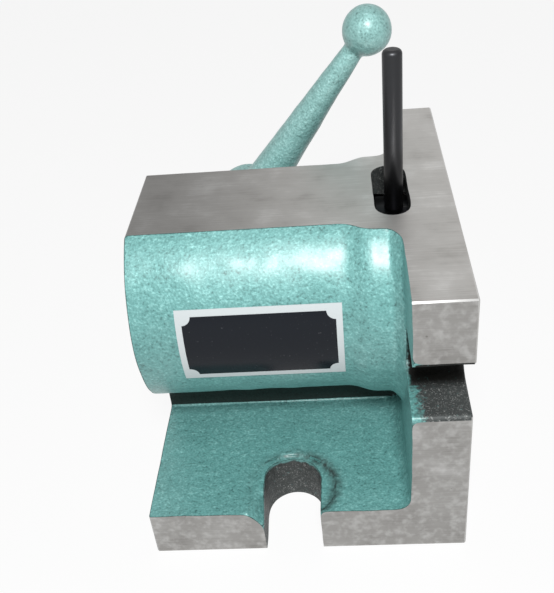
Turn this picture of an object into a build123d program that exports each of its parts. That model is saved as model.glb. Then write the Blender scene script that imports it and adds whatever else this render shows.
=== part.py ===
"""Lever collet fixture for 5C collets, for work lying flat or standing on end.

Millimetres. X runs along the collet axis from the collet mouth to the end wall,
Y across the base, Z up. The origin is under the middle of the base, on its ground
underside. The lever leans on its stop, which keeps the collet drawn in and closed.
"""
import os
from math import cos, radians, sin, tan

from build123d import *

# Casting: outside sizes
fixture_length = 108.0
fixture_width = 132.0
base_thickness = 18.5
wall_thickness = 18.5
axis_height = 70.0
flat_height = 34.0
barrel_radius = 40.0
web_thickness = 20.0
cast_fillet = 4.0
web_fillet = 1.2
wall_fillet = 5.0
ground_edge = 0.5
boss_root_share = 0.33

# Swelling of the barrel round the nut, beside the end wall
swell_radius = 42.4
swell_length = 8.5
swell_flare = 11.0
swell_foot = 3.5

# Clamping slots in the base and in the end wall
slot_width = 20.0
slot_depth = 26.0
base_slot_offset = 49.0
seat_rim = 5.2
seat_shift = 3.8
seat_depth = 1.4
slot_corner = 1.5
corner_break_width = 5.0
corner_break_height = 7.0
corner_break_reach = 12.0
corner_break_fade = 0.1

# Clearances
running_fit = 0.05
shaft_fit = 0.04
loose_fit = 0.1
end_play = 0.5
stop_play = 0.2

# Collet seat, made for a collet body of 31.75
collet_radius = 15.88
mouth_radius = 18.6
mouth_taper = 10.0
seat_head_radius = 24.0
seat_head_length = 22.0
seat_tube_radius = 21.0
seat_length = 57.0
seat_land_offset = 40.0
seat_relief_radius = 16.4
key_pin_radius = 2.0
key_pin_stand = 1.5
key_pin_offset = 44.0
key_pin_chamfer = 0.4

# Draw sleeve and the nut that holds the collet's thread
sleeve_wall = 6.0
sleeve_length = 54.8
washer_thickness = 2.0
thread_radius = 15.4
nut_hub_length = 18.5
nut_flange_radius = 27.5
nut_flange_length = 14.5
nut_bore_clearance = 1.0
nut_hole_count = 12
nut_hole_depth = 8.7
nut_mouth_chamfer = 1.5
nut_edge_chamfer = 1.0
retaining_groove_depth = 1.8
retaining_groove_offset = 8.5
retaining_screw_radius = 2.5
retaining_dog_radius = 1.5
retaining_screw_count = 3
retaining_start_angle = 60.0

# Spanner rod and the slot that it swings in
rod_radius = 3.175
rod_length = 63.2
rod_chamfer = 1.2
pin_slot_width = 12.1
pin_slot_length = 35.0

# Cam shaft, its bush and the boss round it
shaft_offset = 32.3
shaft_radius = 7.5
eccentricity = 1.6
eccentric_radius = 4.2
eccentric_rest_angle = 45.0
eccentric_reach = 0.8
shaft_end_gap = 0.6
bush_wall = 1.6
boss_radius = 16.0
boss_draft = 3.0
thrust_gap = 1.0
hub_seat_radius = 6.0
shaft_end_chamfer = 1.0
seal_width = 1.6
seal_depth = 1.2
seal_offset = 14.0
screw_groove_offset = 4.0
screw_groove_depth = 2.0

# Lever: one casting of hub, arm and ball
hub_radius = 13.8
hub_length = 20.0
hub_overhang = 2.0
hub_edge = 1.0
lever_lean = 36.4
lever_reach = 86.0
ball_radius = 9.3
arm_root_radius = 9.1
arm_tip_radius = 3.9
lever_pin_radius = 2.0
lever_pin_inset = 0.5
lever_swing = 90.0
stop_pin_radius = 1.5
stop_pin_circle = 11.2
stop_pin_angle = 135.0
stop_pin_depth = 7.0
stop_pin_stand = 3.5
stop_groove_depth = 3.5

# Set screws in the casting
lock_screw_radius = 4.0
lock_point_radius = 2.5
lock_screw_offset = 10.0
lock_screw_angle = 135.0
lock_dimple_depth = 1.5
guide_screw_offset = 59.0
guide_dog_radius = 3.0
guide_slot_depth = 3.0
shaft_screw_radius = 3.0
shaft_screw_dog_radius = 2.0
screw_socket_share = 0.55
screw_socket_depth = 3.0
screw_recess = 1.0
dog_gap = 0.3

# Name plate on the front of the barrel
plate_offset = 15.3
plate_margin = 0.3
plate_low_angle = -19.6
plate_high_angle = 21.4
plate_thickness = 0.5

# Places worked out from the sizes above
mouth_x = -fixture_length / 2
wall_outer_x = fixture_length / 2
wall_inner_x = wall_outer_x - wall_thickness
half_width = fixture_width / 2
fixture_height = axis_height + flat_height
barrel_end_x = wall_inner_x - swell_length - swell_flare
collet_axis = Axis((0, 0, axis_height), (1, 0, 0))
base_slot_x = mouth_x + base_slot_offset
sleeve_bore_start = mouth_x + seat_head_length
sleeve_inner_radius = seat_tube_radius + running_fit
sleeve_radius = sleeve_inner_radius + sleeve_wall
sleeve_bore_radius = sleeve_radius + running_fit
eccentric_z = eccentricity * cos(radians(eccentric_rest_angle))
eccentric_x = eccentricity * sin(radians(eccentric_rest_angle))
sleeve_travel = 2 * eccentric_x
sleeve_front_x = sleeve_bore_start + end_play + sleeve_travel
sleeve_rear_x = sleeve_front_x + sleeve_length
nut_flange_x = sleeve_rear_x + washer_thickness
nut_front_x = nut_flange_x - nut_hub_length
nut_rear_x = nut_flange_x + nut_flange_length
nut_hole_x = nut_flange_x + nut_flange_length / 2
pin_slot_x = nut_hole_x - sleeve_travel / 2
rear_bore_radius = nut_flange_radius + nut_bore_clearance
rear_bore_x = nut_flange_x - sleeve_travel - end_play
rod_foot_radius = nut_flange_radius - nut_hole_depth + loose_fit
shaft_x = mouth_x + shaft_offset
bush_bore_radius = shaft_radius + shaft_fit
bush_radius = bush_bore_radius + bush_wall
bush_inner_y = sleeve_bore_radius + end_play + shaft_end_gap
shaft_inner_y = sleeve_radius + shaft_end_gap
eccentric_end_y = seat_tube_radius + eccentric_reach
hub_middle = half_width + hub_overhang - hub_length / 2
hub_face = hub_middle - hub_length / 2
boss_face = hub_face - thrust_gap
seal_y = boss_face - seal_offset
shaft_screw_y = boss_face - screw_groove_offset
lock_screw_x = mouth_x + lock_screw_offset
guide_screw_x = mouth_x + guide_screw_offset
retaining_x = nut_front_x + retaining_groove_offset
barrel_screw_end = barrel_radius - screw_recess

os.makedirs("parts", exist_ok=True)


def barrel_plane(x):
    """Plane across the collet axis at x, with its own x along Y and y along Z."""
    return Plane(origin=(x, 0, axis_height), x_dir=(0, 1, 0), z_dir=(1, 0, 0))


def radial_plane(x, angle, radius=0.0):
    """Plane facing out from the collet axis; the angle runs from +Z towards +Y."""
    outward = Vector(0, sin(radians(angle)), cos(radians(angle)))
    foot = Vector(x, 0, axis_height) + outward * radius
    return Plane(origin=foot, x_dir=(1, 0, 0), z_dir=outward)


def shaft_plane(y):
    """Plane across the cam shaft at y; angles in it run from +Z towards +X."""
    return Plane(origin=(shaft_x, y, axis_height), x_dir=(0, 0, 1), z_dir=(0, 1, 0))


def shaft_radial_plane(y, angle, radius=0.0):
    """Plane facing out from the cam shaft; the angle runs from +Z towards +X."""
    outward = Vector(sin(radians(angle)), 0, cos(radians(angle)))
    foot = Vector(shaft_x, y, axis_height) + outward * radius
    return Plane(origin=foot, x_dir=(0, 1, 0), z_dir=outward)


# Casting: base, web and barrel as one section, then the boss, end wall and swelling
with BuildPart() as body_casting:
    with BuildSketch(Plane.YZ.offset(mouth_x)) as section:
        with Locations((0, base_thickness / 2)):
            Rectangle(fixture_width, base_thickness)
        with Locations((0, (base_thickness + axis_height) / 2)):
            Rectangle(web_thickness, axis_height - base_thickness)
        with Locations((0, axis_height)):
            Circle(barrel_radius)
        web_corners = section.vertices().filter_by(
            lambda v: abs(abs(v.X) - web_thickness / 2) < 0.01
        )
        fillet(web_corners, web_fillet)
    extrude(amount=wall_inner_x - mouth_x)

    boss_length = boss_face - seat_tube_radius
    with BuildSketch(shaft_plane(seat_tube_radius)):
        Circle(boss_radius + boss_length * tan(radians(boss_draft)))
    extrude(amount=boss_length, taper=boss_draft)
    boss_root = edges(Select.LAST).filter_by(
        lambda e: abs(e.center().Y) > web_thickness and e.center().Y < boss_face - 1
    )
    chamfer(boss_root, boss_root_share * (boss_face - barrel_radius))

    with BuildSketch(Plane.YZ.offset(wall_inner_x)):
        with Locations((0, fixture_height / 2)):
            Rectangle(fixture_width, fixture_height)
    extrude(amount=wall_thickness)

    swell_start_x = wall_inner_x - swell_length
    swell_top = axis_height + swell_radius
    barrel_top = axis_height + barrel_radius
    with BuildSketch(Plane.XZ):
        with BuildLine():
            Polyline(
                (swell_start_x, swell_top),
                (wall_inner_x - swell_foot, swell_top),
                (wall_inner_x, swell_top + swell_foot),
                (wall_inner_x + cast_fillet, swell_top + swell_foot),
                (wall_inner_x + cast_fillet, axis_height),
                (barrel_end_x, axis_height),
                (barrel_end_x, barrel_top),
            )
            flare_middle = ((barrel_end_x + swell_start_x) / 2, (barrel_top + swell_top) / 2)
            TangentArc((barrel_end_x, barrel_top), flare_middle, tangent=(1, 0))
            TangentArc((swell_start_x, swell_top), flare_middle, tangent=(-1, 0))
        make_face()
    revolve(axis=collet_axis)

    with BuildSketch(Plane.XZ):
        with BuildLine():
            CenterArc(
                (wall_inner_x - wall_fillet, base_thickness + wall_fillet), wall_fillet, -90, 90
            )
            Polyline(
                (wall_inner_x, base_thickness + wall_fillet),
                (wall_inner_x + cast_fillet, base_thickness + wall_fillet),
                (wall_inner_x + cast_fillet, base_thickness - cast_fillet),
                (wall_inner_x - wall_fillet, base_thickness - cast_fillet),
                (wall_inner_x - wall_fillet, base_thickness),
            )
        make_face()
    extrude(amount=half_width, both=True)

    with BuildSketch(Plane.XY.offset(fixture_height)):
        Rectangle(2 * fixture_length, 2 * fixture_width)
    extrude(amount=swell_radius, mode=Mode.SUBTRACT)

    bores = [
        (mouth_x, sleeve_bore_start, seat_head_radius),
        (sleeve_bore_start, rear_bore_x, sleeve_bore_radius),
        (rear_bore_x, wall_outer_x, rear_bore_radius),
    ]
    for bore_start, bore_end, bore_radius in bores:
        with BuildSketch(barrel_plane(bore_start)):
            Circle(bore_radius)
        extrude(amount=bore_end - bore_start, mode=Mode.SUBTRACT)

    with BuildSketch(shaft_plane(seat_tube_radius)):
        Circle(bush_radius)
    extrude(amount=boss_length, mode=Mode.SUBTRACT)

    with BuildSketch(shaft_plane(boss_face)):
        with PolarLocations(stop_pin_circle, 1, start_angle=stop_pin_angle):
            Circle(stop_pin_radius)
    extrude(amount=-stop_pin_depth, mode=Mode.SUBTRACT)

    for screw_x in (lock_screw_x, guide_screw_x):
        with BuildSketch(radial_plane(screw_x, lock_screw_angle, seat_tube_radius)):
            Circle(lock_screw_radius)
        extrude(amount=barrel_radius, mode=Mode.SUBTRACT)

    with BuildSketch(shaft_radial_plane(shaft_screw_y, 180, shaft_radius)):
        Circle(shaft_screw_radius)
    extrude(amount=boss_radius, mode=Mode.SUBTRACT)

    for side in (-1, 1):
        arc_y = side * (half_width - slot_depth + slot_width / 2)
        straight_y = (arc_y + side * half_width) / 2
        straight_length = slot_depth - slot_width / 2
        with BuildSketch(Plane.XY):
            with Locations((base_slot_x, arc_y)):
                Circle(slot_width / 2)
            with Locations((base_slot_x, straight_y)):
                Rectangle(slot_width, straight_length)
        extrude(amount=base_thickness, mode=Mode.SUBTRACT)
        with BuildSketch(Plane.XY.offset(base_thickness - seat_depth)):
            with Locations((base_slot_x, arc_y + side * seat_shift)):
                Circle(slot_width / 2 + seat_rim)
        extrude(amount=2 * seat_depth, mode=Mode.SUBTRACT)
        with BuildSketch(Plane.YZ.offset(wall_inner_x)):
            with Locations((arc_y, axis_height)):
                Circle(slot_width / 2)
            with Locations((straight_y, axis_height)):
                Rectangle(straight_length, slot_width)
        extrude(amount=wall_thickness, mode=Mode.SUBTRACT)
        wall_slot_corners = edges().filter_by(Axis.X).filter_by(
            lambda e: abs(e.center().Y - side * half_width) < 0.01
            and abs(abs(e.center().Z - axis_height) - slot_width / 2) < 0.01
        )
        fillet(wall_slot_corners, slot_corner)

    slot_corner_x = base_slot_x - slot_width / 2
    break_ends = [(half_width, 1.0), (half_width - corner_break_reach, corner_break_fade)]
    for break_y, share in break_ends:
        with BuildSketch(Plane.XZ.offset(break_y)):
            with BuildLine():
                Polyline(
                    (slot_corner_x - corner_break_width * share, base_thickness + loose_fit),
                    (slot_corner_x + loose_fit, base_thickness - corner_break_height * share),
                    (slot_corner_x + loose_fit, base_thickness + loose_fit),
                    close=True,
                )
            make_face()
    loft(mode=Mode.SUBTRACT)

    with BuildSketch(Plane.XY.offset(fixture_height)):
        with Locations((pin_slot_x, 0)):
            SlotOverall(pin_slot_length, pin_slot_width, rotation=90)
    extrude(amount=axis_height - fixture_height, mode=Mode.SUBTRACT)

    outline = body_casting.part.bounding_box()
    ground_places = [
        (outline.min.X, outline.max.X),
        (outline.min.Y, outline.max.Y),
        (outline.min.Z, outline.max.Z),
    ]
    ground_edges = edges().filter_by(GeomType.LINE).filter_by(
        lambda e: sum(
            min(abs(place - low), abs(place - high)) < 0.01
            for place, (low, high) in zip(tuple(e.center()), ground_places)
        ) == 2
    )
    chamfer(ground_edges, ground_edge)
body_casting.part.label = "body_casting"
export_step(body_casting.part, "parts/body_casting.step")

# Collet seat: a hardened sleeve with the mouth taper and the collet's guide bore
taper_length = (mouth_radius - collet_radius) / tan(radians(mouth_taper))
with BuildPart() as collet_seat:
    with BuildSketch(Plane.XZ):
        with BuildLine():
            Polyline(
                (mouth_x, axis_height + mouth_radius),
                (mouth_x, axis_height + seat_head_radius),
                (sleeve_bore_start, axis_height + seat_head_radius),
                (sleeve_bore_start, axis_height + seat_tube_radius),
                (mouth_x + seat_length, axis_height + seat_tube_radius),
                (mouth_x + seat_length, axis_height + seat_relief_radius),
                (mouth_x + seat_land_offset, axis_height + seat_relief_radius),
                (mouth_x + seat_land_offset, axis_height + collet_radius),
                (mouth_x + taper_length, axis_height + collet_radius),
                close=True,
            )
        make_face()
    revolve(axis=collet_axis)
    with BuildSketch(radial_plane(mouth_x + key_pin_offset, 180)):
        Circle(key_pin_radius)
    extrude(amount=seat_head_radius, mode=Mode.SUBTRACT)
    with BuildSketch(radial_plane(lock_screw_x, lock_screw_angle, seat_head_radius)):
        Circle(lock_point_radius)
    extrude(amount=-lock_dimple_depth, mode=Mode.SUBTRACT)
collet_seat.part.label = "collet_seat"
export_step(collet_seat.part, "parts/collet_seat.step")

# Pin in the seat that enters the keyway of the collet
key_pin_foot = collet_radius - key_pin_stand
with BuildPart() as seat_key_pin:
    with BuildSketch(radial_plane(mouth_x + key_pin_offset, 180, key_pin_foot)):
        Circle(key_pin_radius)
    extrude(amount=seat_tube_radius - loose_fit - key_pin_foot)
    chamfer(faces().sort_by(Axis.Z)[-1].edges(), key_pin_chamfer)
seat_key_pin.part.label = "seat_key_pin"
export_step(seat_key_pin.part, "parts/seat_key_pin.step")

# Screw that holds the seat, with its point in a dimple of the seat's head
with BuildPart() as seat_lock_screw:
    with BuildSketch(radial_plane(lock_screw_x, lock_screw_angle, seat_head_radius)):
        Circle(lock_screw_radius)
    extrude(amount=barrel_screw_end - seat_head_radius)
    with BuildSketch(radial_plane(lock_screw_x, lock_screw_angle, seat_head_radius)):
        Circle(lock_point_radius)
    extrude(amount=-(lock_dimple_depth - loose_fit))
    with BuildSketch(radial_plane(lock_screw_x, lock_screw_angle, barrel_screw_end)):
        RegularPolygon(lock_screw_radius * screw_socket_share, 6)
    extrude(amount=-screw_socket_depth, mode=Mode.SUBTRACT)
seat_lock_screw.part.label = "seat_lock_screw"
export_step(seat_lock_screw.part, "parts/seat_lock_screw.step")

# Draw sleeve: slides on the seat's tube, moved by the eccentric in its side slot
guide_floor = sleeve_radius - guide_slot_depth
guide_slot_length = 2 * (guide_dog_radius + end_play) + sleeve_travel
with BuildPart() as draw_sleeve:
    with BuildSketch(barrel_plane(sleeve_front_x)):
        Circle(sleeve_radius)
        Circle(sleeve_inner_radius, mode=Mode.SUBTRACT)
    extrude(amount=sleeve_length)
    with BuildSketch(shaft_plane(eccentric_radius)):
        with Locations((0, eccentric_x)):
            SlotOverall(
                2 * (eccentric_radius + eccentricity + loose_fit + end_play),
                2 * (eccentric_radius + loose_fit),
            )
    extrude(amount=sleeve_radius, mode=Mode.SUBTRACT)
    with BuildSketch(
        radial_plane(guide_screw_x + sleeve_travel / 2, lock_screw_angle, guide_floor)
    ):
        SlotOverall(guide_slot_length, 2 * (guide_dog_radius + loose_fit))
    extrude(amount=2 * guide_slot_depth, mode=Mode.SUBTRACT)
    for index in range(retaining_screw_count):
        angle = retaining_start_angle + index * 360 / retaining_screw_count
        with BuildSketch(radial_plane(retaining_x, angle)):
            Circle(retaining_screw_radius)
        extrude(amount=sleeve_radius + 1, mode=Mode.SUBTRACT)
draw_sleeve.part.label = "draw_sleeve"
export_step(draw_sleeve.part, "parts/draw_sleeve.step")

# Screw with a dog that keeps the sleeve from turning
dog_foot = guide_floor + dog_gap
dog_root = sleeve_bore_radius + dog_gap
with BuildPart() as sleeve_guide_screw:
    with BuildSketch(radial_plane(guide_screw_x, lock_screw_angle, dog_root)):
        Circle(lock_screw_radius)
    extrude(amount=barrel_screw_end - dog_root)
    with BuildSketch(radial_plane(guide_screw_x, lock_screw_angle, dog_foot)):
        Circle(guide_dog_radius)
    extrude(amount=dog_root - dog_foot)
    with BuildSketch(radial_plane(guide_screw_x, lock_screw_angle, barrel_screw_end)):
        RegularPolygon(lock_screw_radius * screw_socket_share, 6)
    extrude(amount=-screw_socket_depth, mode=Mode.SUBTRACT)
sleeve_guide_screw.part.label = "sleeve_guide_screw"
export_step(sleeve_guide_screw.part, "parts/sleeve_guide_screw.step")

# Hardened washer between the sleeve and the flange of the nut
with BuildPart() as thrust_washer:
    with BuildSketch(barrel_plane(sleeve_rear_x)):
        Circle(sleeve_radius)
        Circle(sleeve_inner_radius + dog_gap, mode=Mode.SUBTRACT)
    extrude(amount=washer_thickness - loose_fit)
thrust_washer.part.label = "thrust_washer"
export_step(thrust_washer.part, "parts/thrust_washer.step")

# Nut for the collet's rear thread, with holes for the spanner rod in its flange
groove_floor = seat_tube_radius - retaining_groove_depth
with BuildPart() as draw_nut:
    with BuildSketch(barrel_plane(nut_front_x)):
        Circle(seat_tube_radius)
    extrude(amount=nut_hub_length)
    with BuildSketch(barrel_plane(nut_flange_x)):
        Circle(nut_flange_radius)
    extrude(amount=nut_flange_length)
    flange_rims = faces().filter_by(Axis.X).edges().filter_by(GeomType.CIRCLE)
    chamfer(flange_rims.sort_by(SortBy.RADIUS)[-2:], nut_edge_chamfer)
    with BuildSketch(barrel_plane(nut_front_x)):
        Circle(thread_radius)
    extrude(amount=nut_hub_length + nut_flange_length, mode=Mode.SUBTRACT)
    mouth_rims = edges().filter_by(GeomType.CIRCLE).sort_by(SortBy.RADIUS)[:2]
    chamfer(mouth_rims, nut_mouth_chamfer)
    with BuildSketch(barrel_plane(retaining_x)):
        Circle(seat_tube_radius + 1)
        Circle(groove_floor, mode=Mode.SUBTRACT)
    extrude(amount=retaining_dog_radius + loose_fit, both=True, mode=Mode.SUBTRACT)
    for index in range(nut_hole_count):
        angle = index * 360 / nut_hole_count
        with BuildSketch(radial_plane(nut_hole_x, angle, nut_flange_radius + 1)):
            Circle(rod_radius + loose_fit)
        extrude(amount=-(nut_hole_depth + 1), mode=Mode.SUBTRACT)
draw_nut.part.label = "draw_nut"
export_step(draw_nut.part, "parts/draw_nut.step")

# Dog screws that run in the groove of the nut and tie it to the sleeve
retaining_root = sleeve_inner_radius + dog_gap
retaining_end = sleeve_radius - dog_gap
with BuildPart() as nut_retaining_screws:
    for index in range(retaining_screw_count):
        angle = retaining_start_angle + index * 360 / retaining_screw_count
        with BuildSketch(radial_plane(retaining_x, angle, retaining_root)):
            Circle(retaining_screw_radius)
        extrude(amount=retaining_end - retaining_root)
        with BuildSketch(radial_plane(retaining_x, angle, groove_floor + dog_gap)):
            Circle(retaining_dog_radius)
        extrude(amount=retaining_root - groove_floor - dog_gap)
        with BuildSketch(radial_plane(retaining_x, angle, retaining_end)):
            RegularPolygon(retaining_screw_radius * screw_socket_share, 6)
        extrude(amount=-screw_socket_depth, mode=Mode.SUBTRACT)
nut_retaining_screws.part.label = "nut_retaining_screws"
export_step(nut_retaining_screws.part, "parts/nut_retaining_screws.step")

# Spanner rod, standing in the top hole of the nut
with BuildPart() as spanner_rod:
    with BuildSketch(radial_plane(nut_hole_x, 0, rod_foot_radius)):
        Circle(rod_radius)
    extrude(amount=rod_length)
    chamfer(edges().filter_by(GeomType.CIRCLE), rod_chamfer)
spanner_rod.part.label = "spanner_rod"
export_step(spanner_rod.part, "parts/spanner_rod.step")

# Bronze bush pressed into the boss
with BuildPart() as shaft_bush:
    with BuildSketch(shaft_plane(bush_inner_y)):
        Circle(bush_radius)
        Circle(bush_bore_radius, mode=Mode.SUBTRACT)
    extrude(amount=boss_face - bush_inner_y)
    with BuildSketch(shaft_radial_plane(shaft_screw_y, 180)):
        Circle(shaft_screw_radius)
    extrude(amount=boss_radius, mode=Mode.SUBTRACT)
shaft_bush.part.label = "shaft_bush"
export_step(shaft_bush.part, "parts/shaft_bush.step")

# Cam shaft: eccentric pin, journal with two grooves, and the seat of the lever's hub
seal_groove_radius = bush_bore_radius - seal_depth - 2 * shaft_fit
lever_axis_dir = Vector(sin(radians(lever_lean)), 0, cos(radians(lever_lean)))
lever_middle = Vector(shaft_x, hub_middle, axis_height)
lever_plane = Plane(origin=lever_middle, x_dir=lever_axis_dir, z_dir=(0, 1, 0))
lever_pin_plane = Plane(origin=lever_middle, x_dir=lever_axis_dir, z_dir=lever_plane.y_dir)
with BuildPart() as cam_shaft:
    with BuildSketch(shaft_plane(shaft_inner_y)):
        Circle(shaft_radius)
    extrude(amount=hub_face - shaft_inner_y)
    with BuildSketch(shaft_plane(hub_face)):
        Circle(hub_seat_radius)
    extrude(amount=hub_length - end_play)
    chamfer(faces().sort_by(Axis.Y)[-1].edges(), shaft_end_chamfer)
    with BuildSketch(shaft_plane(eccentric_end_y)):
        with Locations((eccentric_z, eccentric_x)):
            Circle(eccentric_radius)
    extrude(amount=shaft_inner_y - eccentric_end_y)
    grooves = [
        (seal_y, seal_width / 2 + loose_fit, seal_groove_radius),
        (shaft_screw_y, shaft_screw_dog_radius + loose_fit, shaft_radius - screw_groove_depth),
    ]
    for groove_y, half_groove, groove_radius in grooves:
        with BuildSketch(shaft_plane(groove_y)):
            Circle(shaft_radius + 1)
            Circle(groove_radius, mode=Mode.SUBTRACT)
        extrude(amount=half_groove, both=True, mode=Mode.SUBTRACT)
    with BuildSketch(lever_pin_plane):
        Circle(lever_pin_radius)
    extrude(amount=hub_radius, both=True, mode=Mode.SUBTRACT)
cam_shaft.part.label = "cam_shaft"
export_step(cam_shaft.part, "parts/cam_shaft.step")

# Rubber ring that keeps the oil in the bush
with BuildPart() as shaft_seal_ring:
    with BuildSketch(shaft_plane(seal_y)):
        Circle(bush_bore_radius - shaft_fit)
        Circle(seal_groove_radius + shaft_fit, mode=Mode.SUBTRACT)
    extrude(amount=seal_width / 2, both=True)
shaft_seal_ring.part.label = "shaft_seal_ring"
export_step(shaft_seal_ring.part, "parts/shaft_seal_ring.step")

# Washer between the boss and the lever's hub
with BuildPart() as shaft_washer:
    with BuildSketch(shaft_plane(boss_face)):
        Circle(bush_radius)
        Circle(bush_bore_radius + loose_fit, mode=Mode.SUBTRACT)
    extrude(amount=thrust_gap - loose_fit)
shaft_washer.part.label = "shaft_washer"
export_step(shaft_washer.part, "parts/shaft_washer.step")

# Dog screw from below that keeps the cam shaft in its bush
shaft_dog_foot = shaft_radius - screw_groove_depth + dog_gap
shaft_dog_root = bush_bore_radius + dog_gap
shaft_screw_end = boss_radius - screw_recess
with BuildPart() as shaft_retaining_screw:
    with BuildSketch(shaft_radial_plane(shaft_screw_y, 180, shaft_dog_root)):
        Circle(shaft_screw_radius)
    extrude(amount=shaft_screw_end - shaft_dog_root)
    with BuildSketch(shaft_radial_plane(shaft_screw_y, 180, shaft_dog_foot)):
        Circle(shaft_screw_dog_radius)
    extrude(amount=shaft_dog_root - shaft_dog_foot)
    with BuildSketch(shaft_radial_plane(shaft_screw_y, 180, shaft_screw_end)):
        RegularPolygon(shaft_screw_radius * screw_socket_share, 6)
    extrude(amount=-screw_socket_depth, mode=Mode.SUBTRACT)
shaft_retaining_screw.part.label = "shaft_retaining_screw"
export_step(shaft_retaining_screw.part, "parts/shaft_retaining_screw.step")

# Lever: hub, tapered arm and ball, cast in one
neck = (ball_radius**2 - arm_tip_radius**2) ** 0.5
stop_arc = CenterArc((0, 0), stop_pin_circle, stop_pin_angle, lever_swing, mode=Mode.PRIVATE)
with BuildPart() as lever:
    with BuildSketch(shaft_plane(hub_face)):
        Circle(hub_radius)
    extrude(amount=hub_length)
    chamfer(edges().filter_by(GeomType.CIRCLE), hub_edge)
    with BuildSketch(lever_plane):
        with BuildLine():
            Polyline(
                (lever_reach + ball_radius, 0),
                (0, 0),
                (0, arm_root_radius),
                (lever_reach - neck, arm_tip_radius),
            )
            ThreePointArc(
                (lever_reach - neck, arm_tip_radius),
                (lever_reach, ball_radius),
                (lever_reach + ball_radius, 0),
            )
        make_face()
    revolve(axis=Axis(lever_middle, lever_axis_dir))
    with BuildSketch(shaft_plane(hub_face)):
        Circle(hub_seat_radius)
    extrude(amount=hub_length, mode=Mode.SUBTRACT)
    with BuildSketch(shaft_plane(hub_face)):
        SlotArc(stop_arc, 2 * (stop_pin_radius + stop_play))
    extrude(amount=stop_groove_depth, mode=Mode.SUBTRACT)
    with BuildSketch(lever_pin_plane):
        Circle(lever_pin_radius)
    extrude(amount=2 * hub_radius, both=True, mode=Mode.SUBTRACT)
lever.part.label = "lever"
export_step(lever.part, "parts/lever.step")

# Pin through the hub and the cam shaft
with BuildPart() as lever_pin:
    with BuildSketch(lever_pin_plane):
        Circle(lever_pin_radius)
    extrude(amount=hub_radius - lever_pin_inset, both=True)
lever_pin.part.label = "lever_pin"
export_step(lever_pin.part, "parts/lever_pin.step")

# Pin in the boss that ends the lever's swing at both sides
with BuildPart() as lever_stop_pin:
    with BuildSketch(shaft_plane(boss_face - stop_pin_depth)):
        with PolarLocations(stop_pin_circle, 1, start_angle=stop_pin_angle):
            Circle(stop_pin_radius)
    extrude(amount=stop_pin_depth + stop_pin_stand)
lever_stop_pin.part.label = "lever_stop_pin"
export_step(lever_stop_pin.part, "parts/lever_stop_pin.step")

# Name plate: a thin curved sheet on the front of the barrel
plate_x = mouth_x + plate_offset
plate_sweep = plate_high_angle - plate_low_angle
with BuildPart() as name_plate:
    with BuildSketch(barrel_plane(plate_x)):
        with BuildLine():
            inner = CenterArc((0, 0), barrel_radius, 180 - plate_high_angle, plate_sweep)
            outer = CenterArc(
                (0, 0), barrel_radius + plate_thickness, 180 - plate_high_angle, plate_sweep
            )
            Line(inner @ 0, outer @ 0)
            Line(inner @ 1, outer @ 1)
        make_face()
    extrude(amount=barrel_end_x - plate_margin - plate_x)
name_plate.part.label = "name_plate"
export_step(name_plate.part, "parts/name_plate.step")
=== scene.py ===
"""Finish of the lever collet fixture: hammered enamel over a rough casting, ground
faces, a cam lever, a blacked spanner rod and a blank name plate, in a pale studio."""
import logging
import math
from collections.abc import Callable
from dataclasses import dataclass, field
from enum import Enum

import bmesh
import bpy
from mathutils import Matrix, Vector, kdtree, noise


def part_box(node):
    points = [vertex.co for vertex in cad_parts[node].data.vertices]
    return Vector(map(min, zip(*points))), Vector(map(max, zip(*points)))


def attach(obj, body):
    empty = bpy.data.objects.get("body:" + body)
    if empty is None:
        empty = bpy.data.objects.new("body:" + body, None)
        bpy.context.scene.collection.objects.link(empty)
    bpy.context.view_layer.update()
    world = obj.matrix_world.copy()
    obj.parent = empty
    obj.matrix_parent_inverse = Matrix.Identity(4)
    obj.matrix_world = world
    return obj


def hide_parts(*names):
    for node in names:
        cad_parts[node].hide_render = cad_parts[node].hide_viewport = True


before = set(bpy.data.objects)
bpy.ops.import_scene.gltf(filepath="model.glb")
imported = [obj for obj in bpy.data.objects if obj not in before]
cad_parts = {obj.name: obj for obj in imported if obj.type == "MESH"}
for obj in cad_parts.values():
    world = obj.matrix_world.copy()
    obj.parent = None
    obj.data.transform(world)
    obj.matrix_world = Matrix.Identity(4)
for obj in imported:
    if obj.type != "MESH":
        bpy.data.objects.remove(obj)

log = logging.getLogger("fixture")
Colour = tuple[float, float, float, float]
Point = tuple[float, float, float]
Span = tuple[float, float]
MM = 0.001
WHITE = (1.0, 1.0, 1.0, 1.0)
# Distances in metres under which points count as one, and as lying on a cutting plane.
MERGE = 1e-7
CUT_SNAP = 0.00002
# The part of a normal along an axis from which a face counts as square to it.
SQUARE = 0.999
# Where a surface begins to count as facing along an axis, and where it does so fully.
FACING = (0.6, 0.8)
COAT_ROUGHNESS = 0.32
# How many finer layers lie on noise.
SOFT = 2.0
CRISP = 4.0
CRISPEST = 5.0


class Zone(Enum):
    """What a face of the casting was left as."""

    PAINT = 0
    GROUND = 1
    RAW = 2
    TURNED = 3


CAST_ZONES = (Zone.PAINT.value, Zone.RAW.value)


class Wear(Enum):
    """How far a metal finish has been used."""

    NEW = 0.0
    HANDLED = 0.5


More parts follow.
